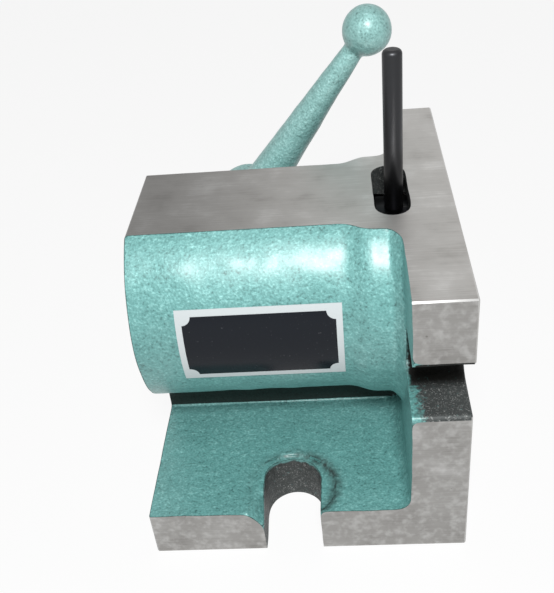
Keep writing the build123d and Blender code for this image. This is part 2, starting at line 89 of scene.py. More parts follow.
class Nodes:
    """Short hand for laying out the nodes of one material."""

    def __init__(self, name: str) -> None:
        """Start an empty material.

        Args:
            name: the material's name.
        """
        self.material = bpy.data.materials.new(name)
        self.material.use_nodes = True
        self.tree = self.material.node_tree
        self.tree.nodes.clear()
        self.output = self.tree.nodes.new("ShaderNodeOutputMaterial")

    @classmethod
    def of_world(cls, world: bpy.types.World) -> "Nodes":
        """Start on the nodes of a world in place of a material's.

        Args:
            world: the world, with its nodes in use.

        Returns:
            The world's nodes, emptied but for an output.
        """
        nodes = cls.__new__(cls)
        nodes.tree = world.node_tree
        nodes.tree.nodes.clear()
        nodes.output = nodes.tree.nodes.new("ShaderNodeOutputWorld")
        return nodes

    def add(self, kind: str, inputs: dict | None = None, **settings: object) -> bpy.types.Node:
        """Add a node, set its own settings and feed its inputs.

        Args:
            kind: the node's type without its ShaderNode prefix.
            inputs: socket name or number to a socket or a plain value.
            settings: the node's own properties.

        Returns:
            The new node.
        """
        node = self.tree.nodes.new("ShaderNode" + kind)
        for key, value in settings.items():
            setattr(node, key, value)
        for key, value in (inputs or {}).items():
            if isinstance(value, bpy.types.NodeSocket):
                self.tree.links.new(value, node.inputs[key])
            else:
                node.inputs[key].default_value = value
        return node

    def math(self, operation: str, first: object, second: object = 0.0) -> bpy.types.NodeSocket:
        """Work out one number from one or two others."""
        return self.add("Math", {0: first, 1: second}, operation=operation).outputs[0]

    def total(self, *parts: tuple[object, float]) -> bpy.types.NodeSocket:
        """Add up numbers, each times its own share.

        Args:
            parts: pairs of a number and its share.

        Returns:
            The sum.
        """
        result = self.math("MULTIPLY", *parts[0])
        for value, share in parts[1:]:
            result = self.math("ADD", result, self.math("MULTIPLY", value, share))
        return result

    def band(self, value: object, low: float, high: float) -> bpy.types.NodeSocket:
        """Ramp a number smoothly.

        Args:
            value: the number.
            low: where the ramp is 0.
            high: where the ramp is 1.

        Returns:
            The ramp's height, from 0 to 1.
        """
        node = self.add(
            "MapRange",
            {"Value": value, "From Min": low, "From Max": high},
            interpolation_type="SMOOTHSTEP",
        )
        return node.outputs["Result"]

    def blend(self, share: object, first: object, second: object) -> bpy.types.NodeSocket:
        """Mix two colours by a share from 0 to 1."""
        return self.add("Mix", {0: share, 6: first, 7: second}, data_type="RGBA").outputs[2]

    def lift(self, share: object, first: object, second: object) -> bpy.types.NodeSocket:
        """Mix two numbers by a share from 0 to 1."""
        return self.add("Mix", {0: share, 2: first, 3: second}, data_type="FLOAT").outputs[0]

    def place(self) -> bpy.types.NodeSocket:
        """Give the object's own coordinates, in metres."""
        return self.add("TexCoord").outputs["Object"]

    def stretched(self, scale: Point) -> bpy.types.NodeSocket:
        """Give the object's coordinates, scaled axis by axis."""
        return self.add("Mapping", {"Vector": self.place(), "Scale": scale}).outputs[0]

    def facing(self, axis: int) -> bpy.types.NodeSocket:
        """Give how squarely the surface faces along one axis.

        Args:
            axis: 0, 1 or 2 for X, Y or Z.

        Returns:
            A share from 0 to 1.
        """
        normal = self.add("TexCoord").outputs["Normal"]
        split = self.add("SeparateXYZ", {0: normal})
        return self.math("ABSOLUTE", split.outputs[axis])

    def grain(self, scale: float, detail: float = 3.0, vector: object = None) -> bpy.types.NodeSocket:
        """Give fractal noise.

        Args:
            scale: cycles per metre.
            detail: how many finer layers lie on the first.
            vector: where to read it, or the object's own coordinates.

        Returns:
            The noise, about 0.5 in the middle.
        """
        where = vector if vector is not None else self.place()
        node = self.add("TexNoise", {"Vector": where, "Scale": scale, "Detail": detail})
        return node.outputs["Fac"]

    def reading(self, name: str) -> bpy.types.NodeSocket:
        """Give a number stored on the mesh's own points."""
        return self.add("Attribute", attribute_name=name).outputs["Fac"]


def seen_directly(nodes: Nodes) -> bpy.types.NodeSocket:
    """Tell camera, mirror and glass rays, which see the ground as white, from the rest.

    Args:
        nodes: the nodes to add to.

    Returns:
        1 for such a ray and 0 for any other.
    """
    path = nodes.add("LightPath")
    mirror = nodes.math("MAXIMUM", path.outputs["Is Camera Ray"], path.outputs["Is Glossy Ray"])
    return nodes.math("MAXIMUM", mirror, path.outputs["Is Transmission Ray"])


@dataclass(frozen=True)
class Coat:
    """One finish before it becomes a shader; each value is a socket or a plain number."""

    colour: object
    metallic: object
    roughness: object
    height: object
    gloss: object = 0.0


def shade(nodes: Nodes, coat: Coat, shine: float = 0.5) -> bpy.types.Material:
    """Turn a finish into its material.

    Args:
        nodes: the material's nodes so far.
        coat: the finish, with its height in metres.
        shine: how much a finish that isn't metal mirrors, where 0.5 is usual.

    Returns:
        The finished material.
    """
    normal = nodes.add("Bump", {"Height": coat.height, "Distance": 1.0, "Strength": 1.0})
    inputs = {
        "Base Color": coat.colour,
        "Metallic": coat.metallic,
        "Roughness": coat.roughness,
        "Coat Weight": coat.gloss,
        "Coat Roughness": COAT_ROUGHNESS,
        "Specular IOR Level": shine,
        "Normal": normal.outputs[0],
    }
    shader = nodes.add("BsdfPrincipled", inputs)
    nodes.tree.links.new(shader.outputs[0], nodes.output.inputs["Surface"])
    return nodes.material


def overlay(nodes: Nodes, share: object, under: Coat, over: Coat) -> Coat:
    """Lay one finish over another.

    Args:
        nodes: the nodes to add to.
        share: how much of the upper finish shows, from 0 to 1.
        under: the lower finish.
        over: the upper finish.

    Returns:
        The mixed finish.
    """
    return Coat(
        nodes.blend(share, under.colour, over.colour),
        nodes.lift(share, under.metallic, over.metallic),
        nodes.lift(share, under.roughness, over.roughness),
        nodes.lift(share, under.height, over.height),
        nodes.lift(share, under.gloss, over.gloss),
    )


@dataclass(frozen=True)
class HammeredEnamel:
    """Enamel with metal flake in it, sprayed on a rough casting."""

    deep: Colour = (0.040, 0.130, 0.124, 1.0)
    middle: Colour = (0.122, 0.322, 0.308, 1.0)
    pale: Colour = (0.235, 0.500, 0.480, 1.0)
    # Dark colour of the border line, also used for the painted shadow on the web and the painted shade
    # round the seats.
    rim_and_shade: Colour = (0.014, 0.020, 0.017, 1.0)
    fleck_scale: float = 1250.0
    patch_scale: float = 480.0
    cloud_scale: float = 60.0
    mottle: Point = (0.60, 0.26, 0.14)
    deep_span: Span = (0.29, 0.49)
    pale_span: Span = (0.49, 0.69)
    fleck_depth: float = 0.00020
    patch_depth: float = 0.00042
    rough: Span = (0.68, 0.52)
    flake_share: float = 0.28
    gloss: float = 0.75
    rim_width: float = 0.00026
    rim_scale: float = 700.0
    rim_share: float = 0.7
    # Patches, strength and roughness of the stored darkening, which is painted shade with some soiling.
    dark_patch_scale: float = 520.0
    dark_patch_span: Span = (0.35, 0.65)
    faint_dark_share: float = 0.5
    full_dark_share: float = 0.96
    dark_roughness: float = 0.9

    def coat(self, nodes: Nodes) -> Coat:
        """Lay the mottled paint with its hammered skin.

        Args:
            nodes: the material's nodes.

        Returns:
            The paint.
        """
        fleck = nodes.grain(self.fleck_scale)
        patch = nodes.grain(self.patch_scale, SOFT)
        cloud = nodes.grain(self.cloud_scale, SOFT)
        mixed = nodes.total(*zip((fleck, patch, cloud), self.mottle))
        low = nodes.blend(nodes.band(mixed, *self.deep_span), self.deep, self.middle)
        colour = nodes.blend(nodes.band(mixed, *self.pale_span), low, self.pale)
        height = nodes.total((fleck, self.fleck_depth), (patch, self.patch_depth))
        return Coat(colour, self.flake_share, nodes.lift(fleck, *self.rough), height, self.gloss)

    def rimmed_and_shaded(self, nodes: Nodes) -> Coat:
        """Lay the paint with grinding's dark line at its border and the darkening stored on the mesh:
        painted shadow on the web, soiling and painted shade round the seats.

        Args:
            nodes: the material's nodes, on a mesh with border and darkening stored on it.

        Returns:
            The paint with its dark line, soiling and painted shade.
        """
        paint = self.coat(nodes)
        ragged = nodes.math("MULTIPLY", nodes.grain(self.rim_scale), self.rim_width * 2)
        line = nodes.math("LESS_THAN", nodes.reading("border"), ragged)
        # Painted shadow and shade, with soiling round the seats: the stored darkening, broken into patches,
        # darkens and dulls the paint.
        patches = nodes.band(nodes.grain(self.dark_patch_scale), *self.dark_patch_span)
        darkening = nodes.math("MULTIPLY", nodes.reading("dirt_and_shade"), nodes.lift(patches, self.faint_dark_share, 1.0))
        dirt_and_shade = nodes.math("MINIMUM", darkening, self.full_dark_share)
        dark = nodes.math("MAXIMUM", nodes.math("MULTIPLY", line, self.rim_share), dirt_and_shade)
        return Coat(
            nodes.blend(dark, paint.colour, self.rim_and_shade),
            self.flake_share,
            nodes.lift(dark, paint.roughness, self.dark_roughness),
            paint.height,
            nodes.lift(dark, self.gloss, 0.0),
        )


@dataclass(frozen=True)
class GroundIron:
    """Cast iron ground flat, with fine marks along one axis."""

    dark: Colour = (0.255, 0.247, 0.236, 1.0)
    tone: Colour = (0.335, 0.328, 0.316, 1.0)
    light: Colour = (0.455, 0.450, 0.440, 1.0)
    # Light colour of the scuffs, also used for the painted highlight on the chamfers.
    scuff_and_highlight: Colour = (0.620, 0.620, 0.610, 1.0)
    pit: Colour = (0.110, 0.105, 0.095, 1.0)
    along_x: Point = (70.0, 3300.0, 3300.0)
    along_y: Point = (3300.0, 70.0, 3300.0)
    mark_size: float = 1.0
    swathe_size: float = 0.16
    scratch_size: float = 0.45
    cloud_scale: float = 65.0
    mottle: Point = (0.28, 0.10, 0.62)
    dark_span: Span = (0.32, 0.50)
    light_span: Span = (0.50, 0.70)
    scratch_span: Span = (0.66, 0.74)
    scratch_share: float = 0.45
    blot_scale: float = 400.0
    blot_span: Span = (0.40, 0.76)
    worn_share: float = 0.42
    pit_scale: float = 520.0
    pit_span: Span = (0.74, 0.80)
    pit_share: float = 0.5
    chamfer_highlight_span: Span = (0.2, 0.4)
    chamfer_highlight_roughness: float = 0.62
    rough: Span = (0.50, 0.34)
    mark_depth: float = 0.000008
    # Painted light: the faces along Y a touch darker, and a painted reflection from dark at the mouth to
    # bright at the end wall.
    front_shade: float = 0.98
    mouth_shade: float = 0.72
    wall_sheen: float = 1.55
    mouth_x: float = -0.054
    wall_x: float = 0.040

    def streaks(self, nodes: Nodes, size: float, detail: float) -> bpy.types.NodeSocket:
        """Give noise drawn out along the grinding, which runs along Y on the two ends.

        Args:
            nodes: the material's nodes.
            size: how fine the streaks are, against the finest marks.
            detail: how many finer layers lie on the first.

        Returns:
            The noise.
        """
        side = nodes.band(nodes.facing(0), *FACING)
        along_x = nodes.grain(size, detail, nodes.stretched(self.along_x))
        return nodes.lift(side, along_x, nodes.grain(size, detail, nodes.stretched(self.along_y)))

    def level(self, nodes: Nodes, front: bpy.types.NodeSocket) -> bpy.types.NodeSocket:
        """Give the painted light on the metal: a painted reflection that brightens from the mouth to the
        end wall, and slight painted shade on the faces along Y.

        Args:
            nodes: the material's nodes.
            front: how squarely the surface faces along Y.

        Returns:
            What the colour is multiplied by.
        """
        place = nodes.add("SeparateXYZ", {0: nodes.place()}).outputs[0]
        rise = nodes.band(place, self.mouth_x, self.wall_x)
        return nodes.lift(front, nodes.lift(rise, self.mouth_shade, self.wall_sheen), self.front_shade)

    def coat(self, nodes: Nodes) -> Coat:
        """Lay the ground metal with its scuffs, scratches and pits, a painted reflection that brightens
        towards the end wall and a painted highlight on the chamfered edges.

        Args:
            nodes: the material's nodes.

        Returns:
            The metal.
        """
        marks = self.streaks(nodes, self.mark_size, CRISP)
        swathe = self.streaks(nodes, self.swathe_size, SOFT)
        cloud = nodes.grain(self.cloud_scale, CRISP)
        mixed = nodes.total(*zip((marks, swathe, cloud), self.mottle))
        low = nodes.blend(nodes.band(mixed, *self.dark_span), self.dark, self.tone)
        bare = nodes.blend(nodes.band(mixed, *self.light_span), low, self.light)
        front = nodes.band(nodes.facing(1), *FACING)
        scratch = nodes.band(self.streaks(nodes, self.scratch_size, CRISPEST), *self.scratch_span)
        blots = nodes.math("MULTIPLY", nodes.band(nodes.grain(self.blot_scale), *self.blot_span), front)
        worn = nodes.math("MAXIMUM", nodes.math("MULTIPLY", scratch, self.scratch_share), blots)
        scuffed = nodes.blend(nodes.math("MULTIPLY", worn, self.worn_share), bare, self.scuff_and_highlight)
        pits = nodes.band(nodes.grain(self.pit_scale, SOFT), *self.pit_span)
        pitted = nodes.blend(nodes.math("MULTIPLY", pits, self.pit_share), scuffed, self.pit)
        # Painted reflection and shade multiply the colour.
        painted_light_inputs = {0: 1.0, 6: pitted, 7: self.level(nodes, front)}
        colour = nodes.add("Mix", painted_light_inputs, data_type="RGBA", blend_type="MULTIPLY").outputs[2]
        # Painted highlight: the chamfers between top and front faces get the light colour and more
        # roughness, for the bright line of light they catch.
        edge = nodes.band(nodes.math("MULTIPLY", nodes.facing(1), nodes.facing(2)), *self.chamfer_highlight_span)
        rough = nodes.lift(edge, nodes.lift(mixed, *self.rough), self.chamfer_highlight_roughness)
        height = nodes.math("MULTIPLY", marks, self.mark_depth)
        return Coat(nodes.blend(edge, colour, self.scuff_and_highlight), 1.0, rough, height)


@dataclass(frozen=True)
class RawIron:
    """Bare casting skin inside the slots, speckled and dark."""

    tone: Colour = (0.060, 0.066, 0.065, 1.0)
    speck: Colour = (0.360, 0.370, 0.360, 1.0)
    # Near black: the painted shadow inside the wall slot.
    slot_shade: Colour = (0.008, 0.008, 0.007, 1.0)
    grit_scale: float = 2100.0
    grit_span: Span = (0.48, 0.72)
    grit_depth: float = 0.00008
    lump_scale: float = 650.0
    lump_span: Span = (0.30, 0.75)
    lump_depth: float = 0.0002
    metallic: float = 0.4
    roughness: float = 0.55
    spray_reach: float = 0.0065
    spray_scale: float = 700.0
    spray_fall: float = -0.62
    spray_rag: float = 1.2
    spray_span: Span = (0.10, 0.62)

    def coat(self, nodes: Nodes) -> Coat:
        """Lay the bare casting, painted dark and not metallic where painted shadow is stored on the mesh.

        Args:
            nodes: the material's nodes.

        Returns:
            The bare iron.
        """
        grit = nodes.grain(self.grit_scale)
        lump = nodes.grain(self.lump_scale, SOFT)
        speck = nodes.math("MULTIPLY", nodes.band(grit, *self.grit_span), nodes.band(lump, *self.lump_span))
        colour = nodes.blend(speck, self.tone, self.speck)
        height = nodes.total((grit, self.grit_depth), (lump, self.lump_depth))
        # Painted shadow: the stored share turns the iron near black and takes away its metal shine.
        shaded = nodes.blend(nodes.reading("dirt_and_shade"), colour, self.slot_shade)
        return Coat(shaded, nodes.lift(nodes.reading("dirt_and_shade"), self.metallic, 0.0), self.roughness, height)

    def oversprayed(self, nodes: Nodes) -> Coat:
        """Lay the bare casting with paint that drifted in over its border.

        Args:
            nodes: the material's nodes.

        Returns:
            The iron with paint on it.
        """
        paint = HammeredEnamel().coat(nodes)
        far = nodes.band(nodes.reading("border"), 0.0, self.spray_reach)
        rag = nodes.grain(self.spray_scale, CRISP)
        drift = nodes.total((far, self.spray_fall), (rag, self.spray_rag))
        return overlay(nodes, nodes.band(drift, *self.spray_span), self.coat(nodes), paint)


@dataclass(frozen=True)
class PlainMetal:
    """A turned or blacked metal of one colour."""

    tone: Colour
    roughness: float = 0.3
    wear: Wear = Wear.NEW
    rubbed: Colour = (0.35, 0.34, 0.33, 1.0)
    spot_scale: float = 420.0
    spot_span: Span = (0.62, 0.74)
    spot_share: float = 0.35
    mark_scale: float = 900.0
    mark_depth: float = 0.000006
    swing: Span = (0.85, 1.25)

    def coat(self, nodes: Nodes) -> Coat:
        """Lay the metal with fine turning marks and rubbed spots.

        Args:
            nodes: the material's nodes.

        Returns:
            The metal.
        """
        spots = nodes.band(nodes.grain(self.spot_scale, CRISPEST), *self.spot_span)
        share = nodes.math("MULTIPLY", spots, self.spot_share * self.wear.value)
        fine = nodes.grain(self.mark_scale, CRISP)
        rough = nodes.lift(fine, *(self.roughness * turn for turn in self.swing))
        height = nodes.math("MULTIPLY", fine, self.mark_depth)
        return Coat(nodes.blend(share, self.tone, self.rubbed), 1.0, rough, height)

    def build(self, name: str) -> bpy.types.Material:
        """Make the metal's material."""
        nodes = Nodes(name)
        return shade(nodes, self.coat(nodes))


@dataclass(frozen=True)
class Print:
    """Smooth sheet or rubber of one colour with a little dust in it."""

    tone: Colour
    dust: Colour
    roughness: float = 0.25
    shine: float = 0.5
    dust_scale: float = 1500.0
    dust_span: Span = (0.66, 0.78)
    dust_share: float = 0.5
    wave_scale: float = 90.0
    wave_depth: float = 0.00006
    swing: Span = (0.8, 1.2)

    def build(self, name: str) -> bpy.types.Material:
        """Make the print's material.

        Args:
            name: the material's name.

        Returns:
            The finished material.
        """
        nodes = Nodes(name)
        dust = nodes.band(nodes.grain(self.dust_scale, CRISP), *self.dust_span)
        share = nodes.math("MULTIPLY", dust, self.dust_share)
        wave = nodes.grain(self.wave_scale, SOFT)
        rough = nodes.lift(wave, *(self.roughness * turn for turn in self.swing))
        height = nodes.math("MULTIPLY", wave, self.wave_depth)
        return shade(nodes, Coat(nodes.blend(share, self.tone, self.dust), 0.0, rough, height), self.shine)


FINISHES = {
    "black_oxide": PlainMetal((0.012, 0.012, 0.014, 1.0), 0.30, Wear.HANDLED),
    "rod_black": PlainMetal((0.046, 0.047, 0.050, 1.0), 0.38),
    "hardened_steel": PlainMetal((0.52, 0.51, 0.5, 1.0), 0.28),
    "bronze": PlainMetal((0.55, 0.38, 0.2, 1.0), 0.35),
    "seal_rubber": Print((0.02, 0.02, 0.02, 1.0), (0.06, 0.06, 0.06, 1.0), 0.6),
    "plate_pale": Print((0.52, 0.56, 0.57, 1.0), (0.36, 0.37, 0.37, 1.0), 0.40),
    "plate_dark": Print((0.006, 0.008, 0.012, 1.0), (0.10, 0.10, 0.11, 1.0), 0.18, 0.2),
}
NODE_FINISHES = {
    "draw_nut": "black_oxide",
    "seat_lock_screw": "black_oxide",
    "sleeve_guide_screw": "black_oxide",
    "nut_retaining_screws": "black_oxide",
    "shaft_retaining_screw": "black_oxide",
    "shaft_bush": "bronze",
    "shaft_seal_ring": "seal_rubber",
}
# Painted light: the lever has the casting's paint, in lighter colours for the brighter light that falls on
# it.
LEVER_PAINT_LIGHTENED = HammeredEnamel(
    deep=(0.085, 0.185, 0.176, 1.0),
    middle=(0.225, 0.435, 0.415, 1.0),
    pale=(0.360, 0.610, 0.590, 1.0),
)
BORE_METAL = PlainMetal((0.30, 0.29, 0.28, 1.0), 0.34, Wear.HANDLED)
RAW_SHINE = 0.15


def lightened_lever_enamel() -> bpy.types.Material:
    """Make the lever's enamel: the casting's paint, painted a shade lighter as painted light for the
    brighter light on the lever.
    """
    nodes = Nodes("lightened_lever_enamel")
    return shade(nodes, LEVER_PAINT_LIGHTENED.coat(nodes))


def casting_materials() -> list[bpy.types.Material]:
    """Make the casting's materials.

    Returns:
        The materials in the order of Zone.
    """
    paint = Nodes("casting_enamel")
    ground = Nodes("ground_iron")
    raw = Nodes("raw_iron")
    return [
        shade(paint, HammeredEnamel().rimmed_and_shaded(paint)),
        shade(ground, GroundIron().coat(ground)),
        shade(raw, RawIron().oversprayed(raw), RAW_SHINE),
        BORE_METAL.build("turned_bore"),
    ]


def within(value: float, low: float = 0.0, high: float = 1.0) -> float:
    """Hold a number between two others."""
    return max(low, min(high, value))


def drop_twins(bm: bmesh.types.BMesh) -> None:
    """Take out pairs of faces that lie back to back on the same three points.

    Args:
        bm: the mesh.
    """
    groups: dict[frozenset, list[bmesh.types.BMFace]] = {}
    for face in bm.faces:
        groups.setdefault(frozenset(face.verts), []).append(face)
    twins = [face for group in groups.values() if len(group) == 2 for face in group]
    if twins:
        bmesh.ops.delete(bm, geom=twins, context="FACES")


def into_triangles(bm: bmesh.types.BMesh) -> None:
    """Cut every face of more than three sides into triangles."""
    bmesh.ops.triangulate(bm, faces=[face for face in bm.faces if len(face.verts) > 3])
    drop_twins(bm)


def refine(bm: bmesh.types.BMesh, limit: Callable[[bmesh.types.BMEdge], float]) -> None:
    """Halve edges until each is shorter than its own limit.

    Args:
        bm: the mesh.
        limit: gives the longest length that an edge may keep, in metres.
    """
    rounds = 12
    for _ in range(rounds):
        long_edges = [edge for edge in bm.edges if edge.calc_length() > limit(edge)]
        if not long_edges:
            return
        bmesh.ops.subdivide_edges(bm, edges=long_edges, cuts=1)
        into_triangles(bm)


def slice_up(
    bm: bmesh.types.BMesh, faces: list[bmesh.types.BMFace], axis: int, places: list[float]
) -> None:
    """Cut faces by planes across one axis, the middle plane first.

    Args:
        bm: the mesh.
        faces: the faces to cut.
        axis: 0, 1 or 2 for X, Y or Z.
        places: where the planes stand on the axis, in metres and in order.
    """
    if not places or not faces:
        return
    middle = len(places) // 2
    foot = Vector()
    foot[axis] = places[middle]
    across = Vector()
    across[axis] = 1.0
    edges = {edge for face in faces for edge in face.edges}
    verts = {vert for face in faces for vert in face.verts}
    cut = bmesh.ops.bisect_plane(
        bm, geom=[*faces, *edges, *verts], dist=CUT_SNAP, plane_co=foot, plane_no=across
    )
    pieces = [item for item in cut["geom"] if isinstance(item, bmesh.types.BMFace)]
    below = [face for face in pieces if face.calc_center_median()[axis] < places[middle]]
    beyond = [face for face in pieces if face.calc_center_median()[axis] >= places[middle]]
    slice_up(bm, below, axis, places[:middle])
    slice_up(bm, beyond, axis, places[middle + 1 :])


def soften(bm: bmesh.types.BMesh, verts: list[bmesh.types.BMVert], rounds: int) -> None:
    """Draw points halfway towards their neighbours.

    Args:
        bm: the mesh.
        verts: the points that move.
        rounds: how many times they do.
    """
    every_way = {"use_axis_x": True, "use_axis_y": True, "use_axis_z": True}
    for _ in range(rounds):
        bmesh.ops.smooth_vert(bm, verts=verts, factor=0.5, **every_way)


def lumps(point: Vector, waves: tuple[Span, ...]) -> float:
    """Add up smooth noise of several wavelengths.

    Args:
        point: a place in metres.
        waves: wavelength and height of each layer, in metres.

    Returns:
        The height there, in metres.
    """
    return sum(height * noise.noise(point / length) for length, height in waves)


def new_piece(
    name: str, bm: bmesh.types.BMesh, materials: list[bpy.types.Material], body: str
) -> bpy.types.Object:
    """Turn a mesh into a piece that rides on a body.

    Args:
        name: the piece's name.
        bm: its mesh, which is freed.
        materials: its materials in slot order.
        body: the CAD body that it moves with.

    Returns:
        The new object.
    """
    mesh = bpy.data.meshes.new(name)
    bm.to_mesh(mesh)
    bm.free()
    for material in materials:
        mesh.materials.append(material)
    obj = bpy.data.objects.new(name, mesh)
    bpy.context.scene.collection.objects.link(obj)
    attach(obj, body)
    log.info("%s: %d faces on %s", name, len(mesh.polygons), body)
    return obj


def clamp_to(bm: bmesh.types.BMesh, node: str) -> None:
    """Keep every point inside the box of a CAD node.

    Args:
        bm: the mesh.
        node: the CAD node's name.
    """
    low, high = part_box(node)
    for vert in bm.verts:
        for axis in range(3):
            vert.co[axis] = within(vert.co[axis], low[axis], high[axis])


@dataclass
class Casting:
    """The iron casting: painted skin with lumps, ground faces, slots and bores.

    Sizes are in millimetres and angles in degrees. The cell, the waves and border_reach are in metres.
    """

    node: str = "body_casting"
    axis_height: float = 70.0
    base_thickness: float = 18.5
    wall_inner: float = 35.5
    barrel_bore: float = 30.0
    slot_middle: float = -5.0
    slot_half: float = 10.0
    slot_end: float = 39.9
    wall_slot_break: float = 1.7
    pin_slot_middle: float = 33.7
    pin_slot_half: float = 6.2
    pin_slot_reach: float = 17.7
    shaft_x: float = -21.7
    shaft_bore: float = 9.3
    shaft_start: float = 20.0
    boss_face: float = 46.9
    edge_break: float = 0.6
    flush: float = 0.05
    slanting: float = 0.9
    seat_middle: float = 53.8
    seat_radius: float = 15.2
    seat_floor: float = 17.1
    seat_fade: float = 7.0
    seat_slack: float = 0.1
    seat_depth_slack: float = 0.5
    # Soiling and painted shade round the seats: the ring's width, and the turn that makes it heavier on the
    # right side.
    seat_dark_width: float = 3.4
    seat_shade_turn: float = 0.3
    # Where the painted shadow on the web lies, and how dark it is.
    web_half: float = 10.7
    web_foot: float = 0.7
    web_top: float = 40.0
    web_shade: float = 2.0
    # Painted shadow in the wall slot: where its round back begins, and how far it fades.
    slot_arc: float = 50.0
    slot_shade_fade: float = 1.6
    wall_slot_floor: float = 60.0
    spray_below: float = 2.0
    spray_above: float = 0.6
    rim_spray: float = 4.0
    flat_angle: float = 0.05
    sharp_angle: float = 38.0
    rounding: int = 4
    border_rounding: int = 7
    paint_cell: float = 0.0013
    longest_side: float = 1.75
    waves: tuple[Span, ...] = ((0.021, 0.00030), (0.009, 0.00022), (0.0042, 0.00007))
    border_reach: float = 0.012
    low: Vector = field(default_factory=Vector)
    high: Vector = field(default_factory=Vector)

    def on_ground_planes(self, centre: Vector) -> int:
        """Count the ground outer planes that a face's centre lies on or beside.

        Args:
            centre: the face's centre, in metres.

        Returns:
            How many there are, from 0 to 3.
        """
        below = [centre[axis] - self.low[axis] for axis in range(3)]
        above = [self.high[axis] - centre[axis] for axis in range(3)]
        return sum(distance < self.edge_break * MM for distance in (*below, *above))

    def in_slots(self, x: float, y: float, z: float) -> bool:
        """Tell if a place is in a clamping slot or the pin slot.

        Args:
            x: its place in millimetres, as are y and z.
            y: see x.
            z: see x.

        Returns:
            Whether it is.
        """
        reach = abs(y)
        outside = reach >= self.slot_end
        base = abs(x - self.slot_middle) <= self.slot_half + self.flush and z <= self.base_thickness
        rise = abs(z - self.axis_height)
        wall = x > self.wall_inner + self.flush and rise <= self.slot_half + self.wall_slot_break
        pin = abs(x - self.pin_slot_middle) <= self.pin_slot_half and reach <= self.pin_slot_reach
        return (outside and (base or wall)) or (pin and z > self.axis_height)

    def turned(self, x: float, y: float, z: float) -> bool:
        """Tell if a place is in the barrel's bore, in the shaft's bore or past the boss's face.

        Known fault: the far ends of the end wall and the base lie past the boss's face too, so parts
        of them look like turned metal where they should be painted.

        Args:
            x: its place in millimetres, as are y and z.
            y: see x.
            z: see x.

        Returns:
            Whether it is.
        """
        rise = z - self.axis_height
        if math.hypot(y, rise) < self.barrel_bore:
            return True
        in_bore = math.hypot(x - self.shaft_x, rise) < self.shaft_bore
        return y > self.boss_face or (y > self.shaft_start and in_bore)

    def zone(self, face: bmesh.types.BMFace) -> Zone:
        """Tell what a face of the casting was left as.

        Args:
            face: a face of the CAD solid.

        Returns:
            Its zone.
        """
        centre = face.calc_center_median()
        x, y, z = centre / MM
        squarely = max(abs(part) for part in face.normal)
        planes = self.on_ground_planes(centre)
        if planes >= 2 and squarely < self.slanting:
            return Zone.GROUND
        if planes and squarely > SQUARE and self.faces_out(centre, face.normal):
            return Zone.GROUND
        base_top = z <= self.base_thickness + self.flush and face.normal.z > SQUARE
        if self.in_slots(x, y, z) and not base_top:
            return Zone.RAW
        return Zone.TURNED if self.turned(x, y, z) else Zone.PAINT

    def faces_out(self, centre: Vector, normal: Vector) -> bool:
        """Tell if a square face is one of the outer ground planes.

        Args:
            centre: the face's centre, in metres.
            normal: where it faces.

        Returns:
            Whether it is.
        """
        for axis in range(3):
            if abs(normal[axis]) > SQUARE:
                edge = self.high[axis] if normal[axis] > 0 else self.low[axis]
                return abs(centre[axis] - edge) < self.flush * MM
        return False

    def cell(self, edge: bmesh.types.BMEdge) -> float:
        """Give the longest length that an edge may keep, which has no limit off the cast skin."""
        skin = any(face.material_index in CAST_ZONES for face in edge.link_faces)
        return self.paint_cell * self.longest_side if skin else math.inf

    def lay_grid(self, bm: bmesh.types.BMesh) -> None:
        """Cut the cast skin into even cells: all of it across X, flat faces also across Y and Z.

        Args:
            bm: the CAD solid's mesh, with a zone on each face.
        """
        bmesh.ops.dissolve_limit(
            bm,
            angle_limit=math.radians(self.flat_angle),
            use_dissolve_boundaries=False,
            verts=list(bm.verts),
            edges=list(bm.edges),
            delimit={"MATERIAL"},
        )
        for axis in range(3):
            reach = self.high[axis] - self.low[axis]
            count = int(reach / self.paint_cell)
            places = [self.low[axis] + reach * (step + 0.5) / count for step in range(count)]
            skin = [
                face
                for face in bm.faces
                if face.material_index in CAST_ZONES
                and (axis == 0 or max(abs(part) for part in face.normal) > SQUARE)
            ]
            slice_up(bm, skin, axis, places)
        into_triangles(bm)

    def mark(self, bm: bmesh.types.BMesh) -> list[Vector]:
        """Mark sharp edges and gather the border of the paint.

        Args:
            bm: the refined mesh, with a zone on each face.

        Returns:
            Points along every edge between paint and bare metal.
        """
        limit = math.radians(self.sharp_angle)
        border = []
        for edge in bm.edges:
            zones = {face.material_index for face in edge.link_faces}
            edge.smooth = len(zones) == 1 and edge.calc_face_angle(0.0) < limit
            if Zone.PAINT.value in zones and len(zones) > 1:
                first, last = (vert.co for vert in edge.verts)
                border.extend((first.copy(), (first + last) / 2, last.copy()))
        return border

    def fill_seats(self, bm: bmesh.types.BMesh) -> None:
        """Raise the slots' seats to the base's face on the mouth's side, where the cutter missed.

        Args:
            bm: the refined mesh.
        """
        seats = []
        radius = self.seat_radius + self.seat_slack
        depth = self.base_thickness - self.seat_floor
        for vert in bm.verts:
            x, y, z = vert.co / MM
            near = math.hypot(x - self.slot_middle, abs(y) - self.seat_middle) < radius
            if not near or not self.seat_floor - self.flush < z < self.base_thickness + self.flush:
                continue
            seats.append(vert)
            if z < self.seat_floor + self.flush:
                share = (self.slot_middle - self.seat_fade / 2 - x) / self.seat_fade
                vert.co.z += depth * within(share) * MM
        bmesh.ops.remove_doubles(bm, verts=seats, dist=MERGE)
        drop_twins(bm)

    def run_over(self, bm: bmesh.types.BMesh) -> None:
        """Round the painted skin's edges, as a casting's are, and the corners of its border.

        Args:
            bm: the refined mesh.
        """
        paint = Zone.PAINT.value
        skin = [vert for vert in bm.verts if all(face.material_index == paint for face in vert.link_faces)]
        soften(bm, skin, self.rounding)
        for _ in range(self.border_rounding):
            self.ease_border(bm)
        bm.normal_update()

